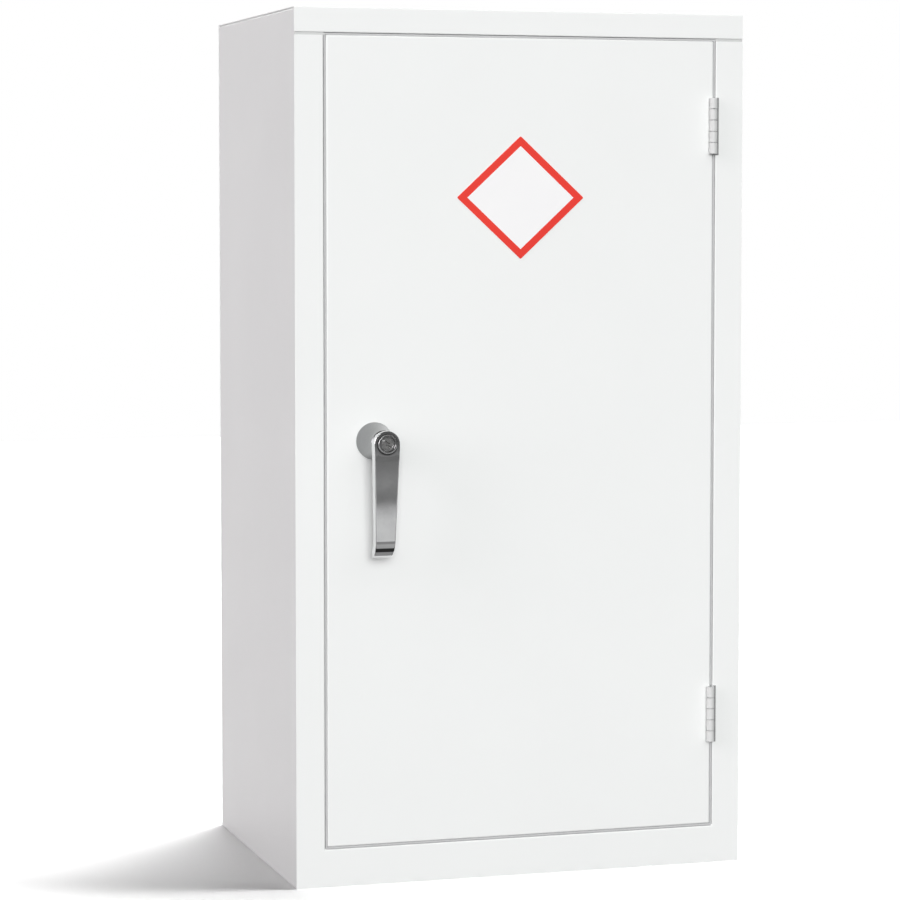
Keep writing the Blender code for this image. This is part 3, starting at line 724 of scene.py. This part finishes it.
def make_lock_barrel():
    """Bezel round the key plug, rounded at its front."""
    front = barrel_high.y - barrel_low.y
    radius = (barrel_high.x - barrel_low.x) / 2
    profile = [(0, front - barrel_floor), (barrel_bore, front - barrel_floor)]
    profile += [(barrel_bore, front - lock_edge), (barrel_bore + lock_edge, front)]
    for step in range(edge_steps + 1):
        turn = quarter_turn * step / edge_steps
        out = barrel_chamfer * (1 - math.sin(turn))
        back = barrel_chamfer * (1 - math.cos(turn))
        profile.append((radius - out, front - back))
    profile += [(radius, 0), (0, 0)]
    work = turned(profile)
    place = facing_front((handle_x, barrel_high.y, handle_z))
    bmesh.ops.transform(work, matrix=place, verts=work.verts)
    piece = add_piece("bezelled_lock_barrel", work, "handle", [chrome], ["lock_barrel"])
    keep_flats(piece)


def add_box(work, low, high):
    """A box between two corners."""
    low, high = Vector(low), Vector(high)
    grown = bmesh.ops.create_cube(work, size=1)["verts"]
    bmesh.ops.scale(work, vec=high - low, verts=grown)
    bmesh.ops.translate(work, vec=(low + high) / 2, verts=grown)


def add_strips(name, work, body, material):
    """A piece made of thin strips, hardly softened."""
    soften(add_piece(name, work, body, [material]), strip_edge)


def make_door_gap_shade_bead():
    """Grey bead in the gap round the door, in runs that leave the hinges free: painted shade of
    the gap.
    """
    near = door_front + shade_bead_inset
    sides = (door_low.x - shade_bead_seat, door_high.x + shade_bead_seat)
    ends = (door_low.z - shade_bead_seat, door_high.z + shade_bead_seat)
    outer = (ends[0] - shade_bead_width, ends[1] + shade_bead_width)
    runs = [((sides[0] - shade_bead_width, outer[0]), (sides[0], outer[1]))]
    runs += [((sides[0], outer[0]), (sides[1] + shade_bead_width, ends[0]))]
    runs += [((sides[0], ends[1]), (sides[1] + shade_bead_width, outer[1]))]
    stops = [ends[0]]
    for level in ("lower", "upper"):
        hinge_low, hinge_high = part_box(f"hinge_door_leaf_{level}")
        stops += [hinge_low.z - shade_bead_hinge_room, hinge_high.z + shade_bead_hinge_room]
    stops.append(ends[1])
    for low, high in zip(stops[::2], stops[1::2]):
        runs.append(((sides[1], low), (sides[1] + shade_bead_width, high)))
    work = bmesh.new()
    for (left, bottom), (right, top) in runs:
        add_box(work, (left, near, bottom), (right, near + shade_bead_depth, top))
    add_strips("door_gap_shade_bead", work, "door", gap_shade_grey)


def make_seam_shade_filler():
    """Grey filler in the seam between each stile and the top rail: painted shade of the seam."""
    frame_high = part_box("front_frame")[1]
    cap_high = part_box("top_panel")[1]
    near = door_front + filler_inset
    opening_edge = door_high.x + shade_bead_width
    work = bmesh.new()
    for side in (-1, 1):
        ends = sorted((side * opening_edge, side * (cap_high.x - filler_inset)))
        low = (ends[0], near, frame_high.z - seam_opening - filler_inset)
        add_box(work, low, (ends[1], near + filler_depth, frame_high.z + filler_inset))
    add_strips("seam_shade_filler", work, "carcass", seam_shade_filler)


def make_hinge_shadow_strip():
    """Thin dark grey strip on the stile beside and below each hinge barrel: painted shadow of the
    barrel.
    """
    work = bmesh.new()
    for level in ("lower", "upper"):
        hinge_low, hinge_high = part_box(f"hinge_frame_leaf_{level}")
        left = hinge_high.x + shadow_strip_start
        low = (left, door_front - shadow_strip_thickness, hinge_low.z - shadow_strip_drop)
        add_box(work, low, (left + shadow_strip_width, door_front, hinge_high.z))
    add_strips("hinge_shadow_strip", work, "carcass", painted_shadow_grey)


def ring(radius, half, face_y):
    """A round ring on the handle's axis, half sunk in the face at face_y."""
    profile = []
    for step in range(ring_steps):
        turn = full_turn * step / ring_steps
        profile.append((radius + half * math.cos(turn), half * math.sin(turn)))
    work = turned(profile)
    place = facing_front((handle_x, face_y, handle_z))
    bmesh.ops.transform(work, matrix=place, verts=work.verts)
    return work


def make_lock_shade_ring_and_bead():
    """Black ring where the lock enters the head, a painted shade line, and a turned bead on the
    key plug.
    """
    round_lock = ring(lock_shade_ring_radius, lock_shade_ring_half, lever_low.y)
    add_piece("lock_shade_ring", round_lock, "handle", [rubber])
    on_plug = ring(plug_bead_radius, plug_bead_half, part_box("key_plug")[0].y)
    add_piece("key_plug_bead", on_plug, "key", [chrome])


def add_stud(work, size, place, outwards):
    """A rivet head or weld mark of a radius and height that stands out from its place."""
    radius, height = size
    head = turned([(radius * across, height * up) for across, up in stud_section], stud_steps)
    stand = Matrix.Translation(place) @ facing(outwards)
    bmesh.ops.transform(head, matrix=stand, verts=head.verts)
    mesh = bpy.data.meshes.new("stud")
    head.to_mesh(mesh)
    head.free()
    work.from_mesh(mesh)
    bpy.data.meshes.remove(mesh)


def make_strip_rivets():
    """Rivets through both lips of each slotted upright."""
    work = bmesh.new()
    for node in frame["nodes"]:
        if not node.startswith("shelf_strip"):
            continue
        low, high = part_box(node)
        inwards = -math.copysign(1, low.x)
        face = max(abs(low.x), abs(high.x)) - sheet_thickness
        for y in (low.y + strip_rivet_inset, high.y - strip_rivet_inset):
            first, last = low.z + strip_rivet_room, high.z - strip_rivet_room
            for z in spread(first, last, strip_rivet_rows):
                add_stud(work, domed_rivet, (-inwards * face, y, z), (inwards, 0, 0))
    add_piece("strip_rivets", work, "carcass", [zinc_plate])


def make_guide_rivets():
    """Rivets through the feet of the rod guides."""
    work = bmesh.new()
    for level in ("lower", "upper"):
        low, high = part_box(f"rod_guide_{level}")
        z = low.z + guide_rivet_share * (high.z - low.z)
        for side in (-1, 1):
            x = (low.x + high.x) / 2 + side * guide_rivet_reach
            add_stud(work, domed_rivet, (x, low.y + sheet_thickness, z), (0, 1, 0))
    add_piece("rod_guide_rivets", work, "door", [zinc_plate])


def make_hinge_rivets():
    """Flush rivets through the leaves of both hinges."""
    rows = (("frame", "carcass", -1), ("door", "door", 1))
    for owner, body, side in rows:
        work = bmesh.new()
        for level in ("lower", "upper"):
            low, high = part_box(f"hinge_{owner}_leaf_{level}")
            leaf = frame["nodes"][f"hinge_{owner}_leaf_{level}"].data
            y = high.y - hinge_rivet_depth
            flat = [vert.co.x for vert in leaf.vertices if vert.co.y > y]
            face = max(flat) if side > 0 else min(flat)
            first, last = low.z + hinge_rivet_room, high.z - hinge_rivet_room
            for z in spread(first, last, hinge_rivet_rows):
                add_stud(work, flush_rivet, (face, y, z), (side, 0, 0))
        add_piece(f"hinge_{owner}_rivets", work, body, [zinc_plate])


def make_spot_welds():
    """Faint marks of the spot welds along both lips of the door's stiffener."""
    low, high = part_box("door_stiffener")
    work = bmesh.new()
    for x in (low.x + weld_inset, high.x - weld_inset):
        for z in spread(low.z + weld_room, high.z - weld_room, weld_count):
            add_stud(work, spot_weld, (x, low.y + sheet_thickness, z), (0, 1, 0))
    add_piece("stiffener_spot_welds", work, "door", [powder_coat])


def make_blank_plate():
    """Plain diamond plate: a red border round an empty white field."""
    work = bmesh.new()
    bmesh.ops.create_circle(work, cap_ends=True, radius=1, segments=4)
    sizes = Vector((plate_across / 2, plate_upright / 2, 1))
    bmesh.ops.scale(work, vec=sizes, verts=work.verts)
    drawn = bmesh.ops.extrude_face_region(work, geom=work.faces[:])
    raised = [item for item in drawn["geom"] if isinstance(item, bmesh.types.BMVert)]
    bmesh.ops.translate(work, vec=(0, 0, plate_thickness), verts=raised)
    bmesh.ops.recalc_face_normals(work, faces=work.faces)
    for face in work.faces:
        face.material_index = plate_border_slot
    field = [face for face in work.faces if face.normal.z > level_normal]
    bmesh.ops.inset_region(work, faces=field, thickness=plate_border, use_even_offset=True)
    for face in field:
        face.material_index = plate_field_slot
    corners = []
    for edge in work.edges:
        first, second = (vert.co for vert in edge.verts)
        if abs(first.z - second.z) > merge_distance:
            corners.append(edge)
    bmesh.ops.bevel(
        work,
        geom=corners,
        offset=plate_corner,
        offset_type="OFFSET",
        segments=edge_steps,
        profile=round_profile,
        affect="EDGES",
        material=-1,
    )
    place = facing_front((plate_x, door_front, plate_z))
    bmesh.ops.transform(work, matrix=place, verts=work.verts)
    add_piece("blank_diamond_plate", work, "door", [white_film, red_film])


def make_camera():
    """The photograph's camera."""
    data = bpy.data.cameras.new("camera")
    data.lens = camera_lens
    data.shift_y = camera_shift
    camera = bpy.data.objects.new("camera", data)
    camera.location = camera_place
    camera.rotation_euler = (quarter_turn - camera_pitch, 0, camera_heading)
    bpy.context.scene.collection.objects.link(camera)
    bpy.context.scene.camera = camera


def make_sky():
    """Even surroundings: plain white to the eye and in metal, and dim as a light."""
    world = bpy.data.worlds.new("studio")
    world.use_nodes = True
    tree = world.node_tree
    background = tree.nodes["Background"]
    background.inputs["Color"].default_value = (1, 1, 1, 1)
    path = add_node(tree, "ShaderNodeLightPath")
    seen = seen_rays(tree, path)
    level = add_node(tree, "ShaderNodeMapRange", None, To_Min=sky_level, To_Max=1.0)
    tree.links.new(seen, level.inputs["Value"])
    tree.links.new(level.outputs["Result"], background.inputs["Strength"])
    bpy.context.scene.world = world


def seen_rays(tree, path):
    """One for camera, glossy and transmission rays, and zero for the rest."""
    total = path.outputs["Is Camera Ray"]
    for name in ("Is Glossy Ray", "Is Transmission Ray"):
        most = add_node(tree, "ShaderNodeMath", {"operation": "MAXIMUM"})
        tree.links.new(total, most.inputs[0])
        tree.links.new(path.outputs[name], most.inputs[1])
        total = most.outputs[0]
    return total


def make_floor():
    """Plain white floor that keeps the shadow and fades into the background."""
    work = bmesh.new()
    bmesh.ops.create_grid(work, x_segments=1, y_segments=1, size=floor_span / 2)
    mesh = bpy.data.meshes.new("floor")
    work.to_mesh(mesh)
    work.free()
    floor = bpy.data.objects.new("floor", mesh)
    bpy.context.scene.collection.objects.link(floor)
    material, tree = tree_of("white_floor")
    paint = add_node(tree, "ShaderNodeBsdfDiffuse")
    glow = add_node(tree, "ShaderNodeEmission", None, Color=(1, 1, 1, 1))
    both = add_node(tree, "ShaderNodeAddShader")
    output = add_node(tree, "ShaderNodeOutputMaterial")
    path = add_node(tree, "ShaderNodeLightPath")
    seen = seen_rays(tree, path)
    tones = {"To_Min": floor_bounce_tone, "To_Max": floor_mirrored_tone}
    tone = add_node(tree, "ShaderNodeMapRange", None, **tones)
    lift = add_node(tree, "ShaderNodeMath", {"operation": "MULTIPLY"})
    lift.inputs[1].default_value = floor_lift
    tree.links.new(seen, tone.inputs["Value"])
    gain = add_node(tree, "ShaderNodeMath", {"operation": "MULTIPLY_ADD"})
    gain.inputs[1].default_value = floor_camera_gain
    tree.links.new(path.outputs["Is Camera Ray"], gain.inputs[0])
    tree.links.new(tone.outputs["Result"], gain.inputs[2])
    tree.links.new(gain.outputs["Value"], paint.inputs["Color"])
    tree.links.new(seen, lift.inputs[0])
    tree.links.new(lift.outputs[0], glow.inputs["Strength"])
    tree.links.new(paint.outputs["BSDF"], both.inputs[0])
    tree.links.new(glow.outputs["Emission"], both.inputs[1])
    tree.links.new(both.outputs["Shader"], output.inputs["Surface"])
    mesh.materials.append(material)
    return floor


def add_card(name, half, stand, material):
    """A flat panel of given half sizes that only reflections see."""
    work = bmesh.new()
    bmesh.ops.create_grid(work, x_segments=1, y_segments=1, size=1)
    bmesh.ops.scale(work, vec=(*half, 1), verts=work.verts)
    bmesh.ops.transform(work, matrix=stand, verts=work.verts)
    mesh = bpy.data.meshes.new(name)
    work.to_mesh(mesh)
    work.free()
    mesh.materials.append(material)
    panel = bpy.data.objects.new(name, mesh)
    bpy.context.scene.collection.objects.link(panel)
    panel.visible_camera = False
    panel.visible_diffuse = False
    panel.visible_transmission = False
    panel.visible_volume_scatter = False
    panel.visible_shadow = False


def banded_glow(name, axis, span, bands):
    """Grey glow in bands along one axis, a painted reflection for the chrome; span is where the
    bands start and end.
    """
    material, tree = tree_of(name)
    place = add_node(tree, "ShaderNodeTexCoord")
    split = add_node(tree, "ShaderNodeSeparateXYZ")
    along = add_node(tree, "ShaderNodeMapRange", None, From_Min=span[0], From_Max=span[1])
    ramp = add_node(tree, "ShaderNodeValToRGB")
    glow = add_node(tree, "ShaderNodeEmission")
    output = add_node(tree, "ShaderNodeOutputMaterial")
    while len(ramp.color_ramp.elements) < len(bands):
        ramp.color_ramp.elements.new(new_band_place)
    for element, (share, tone) in zip(ramp.color_ramp.elements, bands):
        element.position = share
        element.color = (tone, tone, tone, 1)
    tree.links.new(place.outputs["Object"], split.inputs["Vector"])
    tree.links.new(split.outputs[axis], along.inputs["Value"])
    tree.links.new(along.outputs["Result"], ramp.inputs["Fac"])
    tree.links.new(ramp.outputs["Color"], glow.inputs["Color"])
    tree.links.new(glow.outputs["Emission"], output.inputs["Surface"])
    return material


def make_floor_card():
    """Painted reflection in grey bands on the floor before the door, seen only in the chrome."""
    near = door_front
    stand = Matrix.Translation((0, near - card_reach / 2, card_lift))
    material = banded_glow("floor_reflection_card", "Y", (near, near - card_reach), floor_reflection_bands)
    add_card("floor_reflection_card", (card_half_width, card_reach / 2), stand, material)


def make_wall_card():
    """Painted dark reflection in grey bands round the camera side, seen only in the chrome."""
    stand = facing_front((0, door_front - card_reach, card_height / 2))
    material = banded_glow("painted_curtain_reflection", "Z", (0, card_height), curtain_reflection_bands)
    add_card("painted_curtain_reflection", (card_half_width, card_height / 2), stand, material)


def make_plain_card(name, half, place, aim, level):
    """Card of even glow that faces the handle or along an axis: a painted highlight when bright, a
    painted dark reflection when dim.
    """
    aims = {"handle": Vector((handle_x, door_front, handle_z)) - Vector(place)}
    aims |= {"below": (0, 0, -1), "above": (0, 0, 1), "left": (-1, 0, 0), "right": (1, 0, 0)}
    material, tree = tree_of(name)
    glow = add_node(tree, "ShaderNodeEmission", None, Strength=level)
    output = add_node(tree, "ShaderNodeOutputMaterial")
    tree.links.new(glow.outputs["Emission"], output.inputs["Surface"])
    add_card(name, half, Matrix.Translation(place) @ facing(aims[aim]), material)


def make_lamp_targets(floor):
    """What a lamp may light: the floor alone, or everything but the floor."""
    targets = {}
    for name, state in (("floor", "INCLUDE"), ("cabinet", "EXCLUDE")):
        group = bpy.data.collections.new(f"lamp_target_{name}")
        group.objects.link(floor)
        group.collection_objects[0].light_linking.link_state = state
        targets[name] = group
    return targets


def make_sun(name, target, side, height, level, spread, tint=(1, 1, 1)):
    """A far lamp on a target; side is its bearing from the front, towards +X."""
    data = bpy.data.lights.new(name, "SUN")
    data.energy = level * math.pi
    data.angle = math.radians(spread)
    data.color = tint
    lamp = bpy.data.objects.new(name, data)
    bearing = math.radians(side)
    rise = math.radians(height)
    away = math.cos(rise)
    towards = Vector((math.sin(bearing) * away, -math.cos(bearing) * away, math.sin(rise)))
    lamp.rotation_euler = towards.to_track_quat("Z", "Y").to_euler()
    lamp.light_linking.receiver_collection = target
    bpy.context.scene.collection.objects.link(lamp)


make_camera()
make_sky()
targets = make_lamp_targets(make_floor())
make_floor_card()
make_wall_card()
for card, settings in plain_cards.items():
    make_plain_card(card, *settings)
for target, rows in lamps.items():
    for lamp, settings in rows.items():
        make_sun(lamp, targets[target], **settings)

make_refined_pieces()
make_rose()
make_lever()
make_lock_barrel()
make_lock_shade_ring_and_bead()
make_door_gap_shade_bead()
make_seam_shade_filler()
make_hinge_shadow_strip()
make_strip_rivets()
make_guide_rivets()
make_hinge_rivets()
make_spot_welds()
make_blank_plate()

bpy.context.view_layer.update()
scene = bpy.context.scene
scene.view_settings.view_transform = "Standard"
